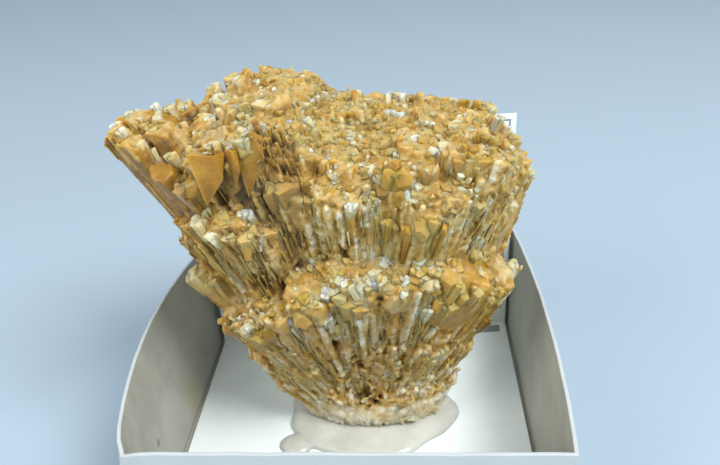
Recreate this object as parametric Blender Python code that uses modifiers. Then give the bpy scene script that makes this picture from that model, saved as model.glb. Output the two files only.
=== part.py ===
# A fan of honey-coloured aragonite, glued upright on a folded white card in a small open card tray.
# Metres, +Z up. The origin is the middle of the tray's underside, and -Y is the front.
import math
import random

import bmesh
import bpy
from mathutils import Matrix, Vector

MM = 0.001
OBJECT_NAME = "aragonite_specimen"
GAP = 0.3 * MM            # air left between touching pieces

# Tray: chipboard folded to an open box, its side walls bowed outwards with age
TRAY_INSIDE = 60.0 * MM
WALL_HEIGHT = 21.3 * MM   # above the floor card
BOARD = 0.6 * MM
FRONT_FOLD = 0.5 * MM     # second layer of board folded down inside the front wall
BOW_LEFT = 4.4 * MM
BOW_RIGHT = 1.6 * MM
NOTCH_WIDTH = 2.6 * MM    # torn nick in the left wall beside the front corner
NOTCH_DEPTH = 1.3 * MM

# Card: one white card whose rear part is folded up as a label
CARD = 0.3 * MM
CARD_WIDTH = 58.6 * MM
CARD_FRONT = -28.6 * MM
FOLD_LEFT = 21.9 * MM     # distance of the crooked fold behind the middle, at its left end
FOLD_RIGHT = 28.0 * MM
LABEL_HEIGHT = 46.3 * MM
FLOOR = BOARD + GAP + CARD

# Glue: a flat blob of hot-melt glue around the foot
GLUE_CENTRE = Vector((2.0, 0.6, 0.0)) * MM
GLUE_HALF_X = 15.0 * MM
GLUE_HALF_Y = 11.3 * MM
GLUE_HEIGHT = 1.9 * MM
GLUE_FLOOR = 0.5 * MM     # glue left under the foot
DROP_CENTRE = Vector((-10.6, -7.4, 0.0)) * MM
DROP_RADIUS = 3.0 * MM

# Stone: everything grows away from one point below the foot
STONE_BASE = FLOOR + GAP + GLUE_FLOOR + GAP
GROWTH_POINT = Vector((2.0, 4.0, -10.0))   # in millimetres, from the floor card
ROOT_CLEARANCE = 3.8      # lowest root of a column, in millimetres above the floor card
FOOT_CENTRE = Vector((2.4, 2.4, 0.0)) * MM
FOOT_HALF_X = 12.6 * MM
FOOT_HALF_Y = 7.0 * MM
FOOT_HEIGHT = 7.0 * MM
SEED = 41


def clear_scene():
    for item in list(bpy.data.objects):
        bpy.data.objects.remove(item, do_unlink=True)


def new_collection(name):
    collection = bpy.data.collections.new(name)
    bpy.context.scene.collection.children.link(collection)
    return collection


def new_material(name, colour, roughness, transmission=0.0):
    material = bpy.data.materials.new(name)
    material.use_nodes = True
    shader = material.node_tree.nodes["Principled BSDF"]
    shader.inputs["Base Color"].default_value = (*colour, 1.0)
    shader.inputs["Roughness"].default_value = roughness
    shader.inputs["Metallic"].default_value = 0.0
    shader.inputs["Transmission Weight"].default_value = transmission
    material.diffuse_color = (*colour, 1.0)
    return material


def object_from(bm, name, collection, material=None):
    mesh = bpy.data.meshes.new(name)
    bm.to_mesh(mesh)
    bm.free()
    item = bpy.data.objects.new(name, mesh)
    collection.objects.link(item)
    if material:
        mesh.materials.append(material)
    return item


def hide_operand(item):
    item.hide_render = True
    item.display_type = "WIRE"


def add_boolean(item, operation, operand):
    cut = item.modifiers.new(operation.lower(), "BOOLEAN")
    cut.operation = operation
    cut.object = operand
    hide_operand(operand)


# Tray

def bow(x, y, height):
    """How far a side wall leans out at a place on it."""
    along = max(0.0, 1.0 - (2.0 * y / TRAY_INSIDE) ** 2)
    rise = max(0.0, height / WALL_HEIGHT)
    if x < 0.0:
        return -BOW_LEFT * along * rise
    return BOW_RIGHT * along * rise


def build_tray(parts, cutters, material):
    half = TRAY_INSIDE / 2.0
    top = FLOOR + WALL_HEIGHT
    bm = bmesh.new()
    bmesh.ops.create_cube(bm, size=1.0)
    bmesh.ops.delete(bm, geom=[face for face in bm.faces if face.normal.z > 0.5], context="FACES_ONLY")
    for vert in bm.verts:
        vert.co = Vector((vert.co.x * TRAY_INSIDE, vert.co.y * TRAY_INSIDE, top if vert.co.z > 0.0 else BOARD))
    bmesh.ops.subdivide_edges(bm, edges=bm.edges[:], cuts=5, use_grid_fill=True)
    for vert in bm.verts:
        if abs(abs(vert.co.x) - half) < GAP and abs(vert.co.y) < half - GAP:
            vert.co.x += bow(vert.co.x, vert.co.y, vert.co.z - FLOOR)
    tray = object_from(bm, "tray", parts, material)
    shell = tray.modifiers.new("board", "SOLIDIFY")
    shell.thickness = BOARD
    shell.offset = 1.0
    shell.use_even_offset = True

    bm = bmesh.new()
    bmesh.ops.create_cube(bm, size=1.0)
    size = Vector((TRAY_INSIDE - 2.0 * GAP, FRONT_FOLD + BOARD / 2.0, top - BOARD / 2.0 - 0.1 * MM))
    middle = Vector((0.0, -half + FRONT_FOLD - size.y / 2.0, BOARD / 2.0 + size.z / 2.0))
    bm.transform(Matrix.LocRotScale(middle, None, size))
    add_boolean(tray, "UNION", object_from(bm, "front_wall_fold", cutters))

    bm = bmesh.new()
    bmesh.ops.create_cone(bm, cap_ends=True, segments=4, radius1=NOTCH_WIDTH / 2.0,
                          radius2=NOTCH_WIDTH / 2.0, depth=6.0 * MM)
    turn = Matrix.Rotation(math.pi / 2.0, 4, "Y")
    stretch = Matrix.Diagonal((1.0, 1.0, 2.0 * NOTCH_DEPTH / NOTCH_WIDTH, 1.0))
    bm.transform(Matrix.Translation((-half - BOARD, -half + 3.6 * MM, top)) @ stretch @ turn)
    add_boolean(tray, "DIFFERENCE", object_from(bm, "corner_nick", cutters))
    return tray


# Folded card

def build_card(parts, cutters, material):
    half = CARD_WIDTH / 2.0
    slant = math.atan2(FOLD_RIGHT - FOLD_LEFT, CARD_WIDTH)
    bm = bmesh.new()
    bmesh.ops.create_cube(bm, size=1.0)
    for vert in bm.verts:
        rear = FOLD_LEFT if vert.co.x < 0.0 else FOLD_RIGHT
        vert.co = Vector((math.copysign(half, vert.co.x), rear if vert.co.y > 0.0 else CARD_FRONT,
                          FLOOR if vert.co.z > 0.0 else FLOOR - CARD))
    card = object_from(bm, "label_card", parts, material)

    bm = bmesh.new()
    bmesh.ops.create_cube(bm, size=1.0)
    bm.transform(Matrix.Diagonal((CARD_WIDTH / math.cos(slant), CARD, LABEL_HEIGHT + CARD, 1.0)))
    middle = Vector((0.0, (FOLD_LEFT + FOLD_RIGHT - CARD) / 2.0, FLOOR + (LABEL_HEIGHT - CARD) / 2.0))
    bm.transform(Matrix.Translation(middle) @ Matrix.Rotation(slant, 4, "Z"))
    add_boolean(card, "UNION", object_from(bm, "label_upright", cutters))
    return card


# Glue

def foot_shape(extra):
    """The foot's outline as a nine-sided lump, grown all round by an amount."""
    bm = bmesh.new()
    bmesh.ops.create_cone(bm, cap_ends=True, segments=9, radius1=1.0, radius2=1.18, depth=1.0)
    height = FOOT_HEIGHT + extra
    size = Vector((FOOT_HALF_X + extra * 1.3, FOOT_HALF_Y + extra * 1.3, height))
    middle = FOOT_CENTRE + Vector((0.0, 0.0, STONE_BASE - extra + height / 2.0))
    bm.transform(Matrix.LocRotScale(middle, None, size))
    return bm


def build_glue(parts, cutters, material):
    bm = bmesh.new()
    bmesh.ops.create_cone(bm, cap_ends=True, segments=26, radius1=1.0, radius2=0.93, depth=1.0)
    for vert in bm.verts:
        angle = math.atan2(vert.co.y, vert.co.x)
        wave = 1.0 + 0.035 * math.sin(3.0 * angle + 0.6) + 0.03 * math.sin(5.0 * angle + 2.0)
        vert.co.x *= wave
        vert.co.y *= wave
    rim = [edge for edge in bm.edges if all(vert.co.z > 0.0 for vert in edge.verts)]
    bm.transform(Matrix.LocRotScale(GLUE_CENTRE + Vector((0.0, 0.0, FLOOR + GAP + GLUE_HEIGHT / 2.0)), None,
                                    Vector((GLUE_HALF_X, GLUE_HALF_Y, GLUE_HEIGHT))))
    bmesh.ops.bevel(bm, geom=rim, offset=0.9 * MM, segments=2, profile=0.6, affect="EDGES")
    glue = object_from(bm, "glue", parts, material)

    bm = bmesh.new()
    bmesh.ops.create_uvsphere(bm, u_segments=14, v_segments=8, radius=1.0)
    bmesh.ops.bisect_plane(bm, geom=bm.verts[:] + bm.edges[:] + bm.faces[:], plane_co=(0.0, 0.0, 0.05),
                           plane_no=(0.0, 0.0, -1.0), clear_outer=True)
    bmesh.ops.holes_fill(bm, edges=[edge for edge in bm.edges if edge.is_boundary])
    bm.transform(Matrix.LocRotScale(DROP_CENTRE + Vector((0.0, 0.0, FLOOR + GAP)), None,
                                    Vector((DROP_RADIUS, DROP_RADIUS * 0.85, 1.2 * MM))))
    bmesh.ops.recalc_face_normals(bm, faces=bm.faces[:])
    add_boolean(glue, "UNION", object_from(bm, "glue_drop", cutters))
    add_boolean(glue, "DIFFERENCE", object_from(foot_shape(GAP), "foot_pocket", cutters))
    return glue


# Stone. Its places below are in millimetres above the floor card. Its crystals are tapered prisms,
# thin at the root and thick at the end, which lean away from the growth point.

# Smooth prisms of the wing that overhangs the tray on the left: end x, y, z, width, length
WING = [
    (-32.8, -2.6, 56.6, 5.0, 40.0), (-31.0, 1.2, 57.2, 5.0, 36.0), (-29.4, -5.2, 55.8, 4.6, 31.0),
    (-27.6, 2.6, 58.2, 5.6, 36.0), (-25.2, -7.8, 54.4, 3.8, 27.0), (-21.8, -9.6, 52.8, 3.4, 22.0),
    (-26.6, -2.4, 58.2, 6.0, 24.0), (-24.4, -0.6, 48.0, 6.0, 30.0),
]

# Wedges that hang point down below the upper crust: top centre, point, width
FANGS = [
    ((-17.9, -10.6, 56.0), (-18.8, -7.6, 46.4), 6.4),
    ((-14.0, -11.0, 56.0), (-15.0, -8.6, 48.6), 3.2),
    ((-11.2, -10.6, 57.6), (-13.0, -7.4, 46.4), 5.8),
]

# Big blocks of the upper half: end x, y, z, width, length
UPPER_BLOCKS = [
    (-16.6, -10.4, 46.6, 7.4, 22.0), (-20.8, -8.6, 45.6, 5.8, 20.0), (-12.8, -10.6, 44.4, 5.4, 18.0),
    (-23.0, -6.2, 44.4, 4.6, 22.0), (-8.4, -8.8, 49.8, 6.0, 12.0), (8.2, -11.0, 54.6, 3.6, 12.0),
    (12.0, -11.0, 54.2, 2.8, 10.0), (15.9, -10.8, 50.4, 5.4, 14.0), (11.4, -9.4, 48.2, 8.6, 18.0),
    (21.0, -7.6, 51.8, 7.4, 12.0), (17.8, -8.4, 55.2, 6.4, 14.0), (22.8, -3.8, 51.6, 6.2, 14.0),
    (22.8, 2.4, 52.2, 6.0, 20.0), (25.4, 0.4, 46.4, 3.6, 20.0), (24.6, -1.4, 43.0, 4.6, 22.0),
    (24.0, 3.8, 39.6, 5.2, 24.0),
]

# Blocks of the ledge, and the pillars at its two ends: end x, y, z, width, length
LEDGE_BLOCKS = [
    (-5.6, -11.6, 34.4, 6.4, 20.0), (-1.2, -10.2, 37.6, 3.2, 12.0), (0.9, -11.8, 36.4, 5.0, 22.0),
    (8.4, -11.6, 35.2, 3.2, 17.0), (10.8, -10.2, 38.4, 3.2, 12.0), (19.2, -8.8, 34.4, 5.0, 22.0),
    (24.4, -2.4, 32.2, 4.2, 18.0), (-23.2, -4.2, 33.8, 4.8, 22.0), (-20.6, -5.0, 34.6, 3.6, 20.0),
    (-14.8, -8.6, 27.6, 5.8, 18.0), (-11.4, -10.2, 30.4, 6.0, 20.0), (-18.4, -5.6, 26.0, 5.4, 16.0),
    (-13.4, -6.4, 36.6, 3.4, 16.0), (-10.4, -6.6, 37.0, 3.6, 16.0), (-15.2, -3.6, 17.6, 6.0, 12.0),
    (-12.0, -2.6, 11.6, 5.6, 7.0), (18.2, 0.0, 17.4, 5.4, 12.0), (21.4, 1.2, 24.0, 5.0, 16.0),
]

# Lips that rows of narrower columns end on: x, y, z along each one
UPPER_LIP = [(-22.0, -8.8, 53.4), (-9.0, -10.6, 54.0), (-4.0, -11.2, 51.6), (6.0, -11.4, 51.6),
             (14.0, -11.2, 51.0), (20.0, -9.4, 49.0), (25.0, -4.2, 46.6)]
LEDGE_LIP = [(-18.0, -6.0, 25.4), (-13.5, -9.4, 28.6), (-8.0, -11.0, 33.0), (-1.0, -11.4, 36.6),
             (6.0, -11.6, 36.2), (14.0, -10.8, 36.8), (20.0, -8.2, 34.6), (24.4, -2.6, 31.8), (24.0, 5.0, 30.0)]
FRONT_STEP = [(-13.0, -5.0, 15.0), (-6.0, -7.0, 22.0), (2.0, -7.6, 24.0), (10.0, -7.4, 22.0),
              (16.0, -5.4, 19.0), (18.6, -1.0, 18.0)]
BACK_TOP = [(-28.0, 5.4, 55.4), (-20.0, 9.4, 57.4), (-8.0, 12.6, 58.8), (4.0, 13.6, 57.0), (15.0, 12.4, 55.0),
            (23.4, 7.6, 52.0)]
BACK_MIDDLE = [(-24.0, 6.0, 37.0), (-14.0, 10.2, 41.0), (0.0, 12.4, 39.0), (12.0, 12.0, 37.0), (21.6, 7.8, 33.0)]
BACK_LOWER = [(-14.5, 5.6, 18.0), (-4.0, 9.6, 20.5), (8.0, 10.8, 19.5), (17.4, 7.0, 17.0)]

# Height of the top crust along its ridge: x, z
RIDGE = [(-34.0, 54.0), (-31.0, 57.0), (-28.0, 59.2), (-23.0, 58.4), (-19.0, 60.6), (-15.0, 62.6), (-12.0, 61.4),
         (-9.0, 62.2), (-4.5, 61.0), (0.0, 59.4), (4.0, 58.6), (9.0, 57.6), (14.0, 56.4), (18.0, 55.6),
         (21.5, 56.2), (24.0, 54.4), (27.0, 50.0)]
RIDGE_Y = 4.0
FRONT_FALL = 0.32         # drop of the crust towards the front, per millimetre
BACK_FALL = 0.03          # drop behind the ridge, per square millimetre
CRUST_RELIEF = 2.4        # how far the blocks of the crust stand out of the fan


def between(points, value):
    """Read a line of points at a value of their first number."""
    for low, high in zip(points, points[1:]):
        if value <= high[0]:
            share = max(0.0, (value - low[0]) / (high[0] - low[0]))
            return [a + (b - a) * share for a, b in zip(low, high)]
    return list(points[-1])


def crust_height(x, y):
    ridge = between(RIDGE, x)[1]
    if y < RIDGE_Y:
        return ridge - FRONT_FALL * (RIDGE_Y - y)
    return ridge - BACK_FALL * (y - RIDGE_Y) ** 2


def place_prism(bm, end, root, length, growth):
    """Stand a prism that was made along Z with its end at a place, leaning away from its root."""
    axis = (end - root).normalized()
    bm.transform(axis.to_track_quat("Z", "Y").to_matrix().to_4x4())
    bm.transform(Matrix.Translation(end - axis * length / 2.0))
    bm.transform(Matrix.Translation((0.0, 0.0, FLOOR)) @ Matrix.Scale(MM, 4))
    object_from(bm, "crystal", growth)


def cut_end(bm, point, normal):
    """Cleave the end of a prism along a plane and close it."""
    everything = bm.verts[:] + bm.edges[:] + bm.faces[:]
    bmesh.ops.bisect_plane(bm, geom=everything, plane_co=point, plane_no=normal, clear_outer=True)
    bmesh.ops.holes_fill(bm, edges=[edge for edge in bm.edges if edge.is_boundary])


def add_crystal(growth, dice, end, width, length, root=GROWTH_POINT, taper=0.45, sides=6, tilt=0.35):
    """One tapered prism with a slanting end and one cleaved corner."""
    end = Vector(end)
    length = min(length, (end.z - ROOT_CLEARANCE) / (end - root).normalized().z)
    bm = bmesh.new()
    bmesh.ops.create_cone(bm, cap_ends=True, segments=sides, radius1=width * taper / 2.0,
                          radius2=width / 2.0, depth=length)
    lean = Vector((dice.uniform(-tilt, tilt), dice.uniform(-tilt, tilt), 0.0))
    for vert in bm.verts:
        if vert.co.z > 0.0:
            vert.co.z += lean.dot(vert.co)
    steep = math.radians(dice.uniform(35.0, 62.0))
    around = dice.uniform(0.0, math.tau)
    side = Vector((math.cos(around), math.sin(around), 0.0))
    corner = side * width * dice.uniform(0.12, 0.3) + Vector((0.0, 0.0, length / 2.0))
    cut_end(bm, corner, side * math.sin(steep) + Vector((0.0, 0.0, math.cos(steep))))
    bm.transform(Matrix.Diagonal((1.0, dice.uniform(0.72, 1.0), 1.0, 1.0)))
    bm.transform(Matrix.Rotation(dice.uniform(0.0, math.tau), 4, "Z"))
    place_prism(bm, end, root, length, growth)


def add_slab(growth, end, width, depth, length, fall):
    """One broad tapered prism of the solid fan. Its end falls to the front, and a little to the back."""
    end = Vector(end)
    length = min(length, (end.z - ROOT_CLEARANCE) / (end - GROWTH_POINT).normalized().z)
    bm = bmesh.new()
    bmesh.ops.create_cone(bm, cap_ends=True, segments=8, radius1=0.22, radius2=0.54, depth=length)
    bm.transform(Matrix.Rotation(math.pi / 8.0, 4, "Z"))
    bm.transform(Matrix.Diagonal((width, depth, 1.0, 1.0)))
    for vert in bm.verts:
        if vert.co.z > 0.0:
            vert.co.z += fall * vert.co.y if vert.co.y < 0.0 else -0.12 * vert.co.y
    place_prism(bm, end, GROWTH_POINT, length, growth)


def add_row(growth, dice, line, count, width, length, inset=0.0, drop=0.0, spread=0.8):
    """A row of columns that end along a lip, or along a line set back and down from it."""
    first = line[0][0]
    last = line[-1][0]
    for index in range(count):
        x = first + (last - first) * (index + dice.uniform(0.2, 0.8)) / count
        place = Vector(between(line, x))
        inwards = 1.0 if place.y < 0.0 else -1.0
        place.y += inwards * (inset + dice.uniform(-0.4, 0.9))
        place.z += dice.uniform(-spread, spread * 0.6) - drop
        size = width * dice.uniform(0.75, 1.25)
        add_crystal(growth, dice, place, size, length * dice.uniform(0.85, 1.15))


def add_fan(growth):
    """The solid heart of the fan, just below its crust, with the two ledges in front."""
    for index in range(9):
        x = -27.5 + 6.3 * index
        middle = 1.0 if abs(x + 3.0) < 20.0 else 0.68
        top = crust_height(x, 1.6) - CRUST_RELIEF
        add_slab(growth, (x, 1.6, top), 9.4, 22.0 * middle, 52.0, FRONT_FALL)
    for x, y, z in [(-12.0, -4.0, 28.6), (-5.0, -5.6, 32.0), (2.0, -6.0, 34.4), (9.0, -6.0, 34.4),
                    (15.6, -4.8, 33.4), (20.6, -1.4, 30.4)]:
        add_slab(growth, (x, y, z), 9.4, 9.6, 30.0, 0.0)
    for x, y, z in [(-21.0, -4.0, 42.0), (-15.4, -5.6, 43.6)]:
        add_slab(growth, (x, y, z), 7.6, 9.0, 34.0, 0.0)


def add_crust(growth, dice):
    """Stout blocks whose ends make the lumpy top, from the front lip to the back."""
    step = 5.1
    for row in range(5):
        y = -8.2 + step * row
        reach = 26.6 - 0.06 * (y - 2.0) ** 2
        count = int(2.0 * reach / step)
        for index in range(count):
            x = -3.2 - reach + step * (index + 0.5) + dice.uniform(-1.0, 1.0)
            place = Vector((x, y + dice.uniform(-1.2, 1.2), 0.0))
            place.z = crust_height(place.x, place.y) + dice.uniform(-1.4, 0.5)
            root = GROWTH_POINT + Vector((dice.uniform(-9.0, 9.0), dice.uniform(-9.0, 9.0), 20.0))
            add_crystal(growth, dice, place, dice.uniform(3.8, 7.2), 11.0, root=root, sides=5, tilt=0.45)


def add_foot_lumps(growth, dice):
    """Rough lumps of matrix around the foot."""
    count = 11
    for index in range(count):
        angle = math.tau * (index + dice.uniform(-0.2, 0.2)) / count
        place = Vector((3.0 + 12.0 * math.cos(angle), 2.4 + 6.2 * math.sin(angle), dice.uniform(6.4, 8.6)))
        root = Vector((3.0, 2.4, dice.uniform(-6.0, -2.0)))
        add_crystal(growth, dice, place, dice.uniform(4.6, 6.8), 4.2, root=root, taper=0.8, sides=7)


def build_stone(parts, material):
    dice = random.Random(SEED)
    growth = new_collection("growth")
    add_fan(growth)
    for x, y, z, width, length in WING:
        add_crystal(growth, dice, (x, y, z), width, length, taper=0.6)
    for top, point, width in FANGS:
        size = (Vector(top) - Vector(point)).length
        add_crystal(growth, dice, top, width, size, root=Vector(point), taper=0.1, sides=5)
    for x, y, z, width, length in UPPER_BLOCKS + LEDGE_BLOCKS:
        add_crystal(growth, dice, (x, y, z), width, length)
    add_row(growth, dice, UPPER_LIP, 20, 3.1, 16.0)
    add_row(growth, dice, LEDGE_LIP, 21, 3.4, 22.0)
    add_row(growth, dice, LEDGE_LIP, 9, 3.8, 12.0, inset=3.0, drop=-0.6)
    add_row(growth, dice, FRONT_STEP, 9, 3.6, 13.0, spread=3.0)
    add_row(growth, dice, BACK_TOP, 11, 4.8, 20.0)
    add_row(growth, dice, BACK_MIDDLE, 9, 5.4, 22.0, spread=2.4)
    add_row(growth, dice, BACK_LOWER, 7, 5.2, 14.0, spread=2.4)
    add_crust(growth, dice)
    add_foot_lumps(growth, dice)

    stone = object_from(foot_shape(0.0), "aragonite", parts, material)
    join = stone.modifiers.new("grown_together", "BOOLEAN")
    join.operation = "UNION"
    join.operand_type = "COLLECTION"
    join.collection = growth
    whole = stone.evaluated_get(bpy.context.evaluated_depsgraph_get())
    mesh = bpy.data.meshes.new_from_object(whole)
    stone.modifiers.clear()
    stone.data = mesh
    for item in list(growth.objects):
        bpy.data.objects.remove(item, do_unlink=True)
    bpy.data.collections.remove(growth)
    keep_outer_skin(mesh)
    return stone


def keep_outer_skin(mesh):
    """Leave only the largest shell, so that no hollow stays sealed inside."""
    bm = bmesh.new()
    bm.from_mesh(mesh)
    shells = []
    seen = set()
    for start in bm.verts:
        if start in seen:
            continue
        shell = [start]
        seen.add(start)
        for vert in shell:
            for edge in vert.link_edges:
                other = edge.other_vert(vert)
                if other not in seen:
                    seen.add(other)
                    shell.append(other)
        shells.append(shell)
    shells.sort(key=len)
    for shell in shells[:-1]:
        bmesh.ops.delete(bm, geom=shell, context="VERTS")
    bmesh.ops.triangulate(bm, faces=bm.faces[:])
    bm.to_mesh(mesh)
    bm.free()


clear_scene()
part_collection = new_collection(OBJECT_NAME)
cutter_collection = new_collection("cutters")
build_tray(part_collection, cutter_collection, new_material("chipboard", (0.55, 0.55, 0.52), 0.85))
build_card(part_collection, cutter_collection, new_material("white_card", (0.86, 0.88, 0.88), 0.6))
build_glue(part_collection, cutter_collection, new_material("hot_melt_glue", (0.80, 0.80, 0.74), 0.2, 0.5))
build_stone(part_collection, new_material("aragonite", (0.60, 0.40, 0.16), 0.4))
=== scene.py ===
import math
import random

import bmesh
import bpy
import numpy as np
from mathutils import Matrix, Vector, noise
from mathutils.bvhtree import BVHTree


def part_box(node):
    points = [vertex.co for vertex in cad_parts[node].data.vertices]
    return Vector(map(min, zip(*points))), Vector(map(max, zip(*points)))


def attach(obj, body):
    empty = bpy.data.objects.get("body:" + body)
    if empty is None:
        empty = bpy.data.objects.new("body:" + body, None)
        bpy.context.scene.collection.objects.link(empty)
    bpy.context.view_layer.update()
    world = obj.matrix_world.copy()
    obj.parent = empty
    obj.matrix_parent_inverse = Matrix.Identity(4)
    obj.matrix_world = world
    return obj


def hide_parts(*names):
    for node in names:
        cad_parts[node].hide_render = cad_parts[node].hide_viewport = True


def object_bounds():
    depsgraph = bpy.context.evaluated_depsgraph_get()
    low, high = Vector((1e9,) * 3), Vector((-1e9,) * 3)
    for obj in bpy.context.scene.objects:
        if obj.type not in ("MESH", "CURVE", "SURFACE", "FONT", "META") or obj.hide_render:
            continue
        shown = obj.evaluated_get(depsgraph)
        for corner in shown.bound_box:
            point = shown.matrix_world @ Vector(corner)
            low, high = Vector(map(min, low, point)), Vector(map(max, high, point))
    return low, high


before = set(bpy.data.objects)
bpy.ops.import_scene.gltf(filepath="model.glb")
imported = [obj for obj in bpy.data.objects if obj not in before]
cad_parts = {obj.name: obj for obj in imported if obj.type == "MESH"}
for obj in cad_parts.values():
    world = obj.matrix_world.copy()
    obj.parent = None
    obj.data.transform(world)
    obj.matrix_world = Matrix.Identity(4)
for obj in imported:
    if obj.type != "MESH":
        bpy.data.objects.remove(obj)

bpy.ops.object.select_all(action="DESELECT")
cad_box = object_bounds()

# Camera. It stands where the photograph was taken from: a hand's breadth in front of the tray and as
# high again as the stone, looking down on it, with a slight roll to the left.
MM = 0.001
CAMERA_PLACE = Vector((9.0, -101.035, 93.966)) * MM
PITCH_DOWN = 0.499
YAW = -0.072
ROLL = -0.052
LENS = 36.97
SENSOR = 36.0

forward = Vector((math.sin(YAW) * math.cos(PITCH_DOWN), math.cos(YAW) * math.cos(PITCH_DOWN),
                  -math.sin(PITCH_DOWN)))
level = Vector((math.cos(YAW), -math.sin(YAW), 0.0))
upright = level.cross(forward)
side = math.cos(ROLL) * level + math.sin(ROLL) * upright
up = math.cos(ROLL) * upright - math.sin(ROLL) * level
bpy.ops.object.camera_add()
camera = bpy.context.object
camera.name = "camera"
camera.matrix_world = Matrix.Translation(CAMERA_PLACE) @ Matrix((side, up, -forward)).transposed().to_4x4()
camera.data.lens = LENS
camera.data.sensor_width = SENSOR
camera.data.clip_start = 0.005
bpy.context.scene.camera = camera

# Studio. A plain pale floor, a broad soft lamp above the right shoulder, a weak one from the left and
# an even pale sky, so that the tray's left wall and the card behind the stone fall into soft shade.
FLOOR_COLOUR = (0.36, 0.46, 0.55, 1.0)
FLOOR_SIZE = 6.0
SKY_COLOUR = (0.88, 0.94, 1.0, 1.0)
SKY_STRENGTH = 0.62
AIM = (0.0, 0.0, 0.03)


def soft_lamp(name, place, size, power, colour):
    """An area lamp at a place, turned towards the stone."""
    bpy.ops.object.light_add(type="AREA", location=place)
    lamp = bpy.context.object
    lamp.name = name
    lamp.rotation_euler = (Vector(AIM) - Vector(place)).to_track_quat("-Z", "Y").to_euler()
    lamp.data.size = size
    lamp.data.energy = power
    lamp.data.color = colour


def new_material(name):
    """An empty material with its shader."""
    material = bpy.data.materials.new(name)
    material.use_nodes = True
    return material, material.node_tree, material.node_tree.nodes["Principled BSDF"]


def set_inputs(shader, values):
    """Set a shader's inputs from names and values."""
    for label, value in values.items():
        shader.inputs[label].default_value = value


soft_lamp("key_lamp", (0.30, -0.22, 0.50), 0.28, 3.95, (1.0, 1.0, 0.98))
soft_lamp("fill_lamp", (-0.45, -0.30, 0.35), 0.40, 2.2, (1.0, 0.98, 0.94))
sky = bpy.data.worlds.new("studio_sky")
sky.use_nodes = True
set_inputs(sky.node_tree.nodes["Background"], {"Color": SKY_COLOUR, "Strength": SKY_STRENGTH})
bpy.context.scene.world = sky
bpy.context.scene.view_settings.view_transform = "Standard"

bpy.ops.mesh.primitive_plane_add(size=FLOOR_SIZE, location=(0.0, 0.0, cad_box[0][2] - 0.1 * MM))
studio_floor = bpy.context.object
studio_floor.name = "studio_floor"
bpy.ops.object.transform_apply(location=True, rotation=True, scale=True)
floor_material, floor_tree, floor_shader = new_material("pale_floor")
set_inputs(floor_shader, {"Base Color": FLOOR_COLOUR, "Roughness": 0.7})
studio_floor.data.materials.append(floor_material)

# Tray. A collector's tray folded from grey chipboard with a white paper liner outside. Age has bowed its
# side walls, and the front left corner is torn and crumpled.
TRAY_INSIDE = 60.0 * MM
WALL_HEIGHT = 21.3 * MM
BOARD = 0.6 * MM
GAP = 0.3 * MM
CARD = 0.3 * MM
FLOOR = BOARD + GAP + CARD
BOW_LEFT = 4.36 * MM
BOW_RIGHT = 1.56 * MM
PAPER_WHITE = (0.48, 0.53, 0.545, 1.0)
PAPER_SHADE = (0.41, 0.45, 0.47, 1.0)
CHIPBOARD_GREY = (0.385, 0.395, 0.35, 1.0)
CHIPBOARD_SHADE = (0.25, 0.255, 0.225, 1.0)
CRUMPLE_REACH = 3.2 * MM
CRUMPLE_DEPTH = 5.0 * MM
WORN_EDGE = 0.14 * MM
# A yellow stain and a small scuff inside the left wall: middle and radius in millimetres, share, colour
WALL_SPOTS = [((-30.5, 2.2, 4.2), 5.0, 0.55, (0.42, 0.37, 0.16, 1.0)),
              ((-31.2, -15.1, 9.3), 0.9, 0.90, (0.10, 0.10, 0.11, 1.0))]


def apply_modifiers(item):
    """Apply all of an object's modifiers, from the first to the last."""
    bpy.context.view_layer.objects.active = item
    for modifier in list(item.modifiers):
        bpy.ops.object.modifier_apply(modifier=modifier.name)


def thicken(item, thickness, offset, edge_width, edge_angle):
    """Give a sheet its thickness and its worn edges."""
    shell = item.modifiers.new("board", "SOLIDIFY")
    shell.thickness = thickness
    shell.offset = offset
    shell.use_even_offset = True
    edge = item.modifiers.new("worn_edge", "BEVEL")
    edge.width = edge_width
    edge.segments = 2
    edge.limit_method = "ANGLE"
    edge.angle_limit = math.radians(edge_angle)
    apply_modifiers(item)


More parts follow.
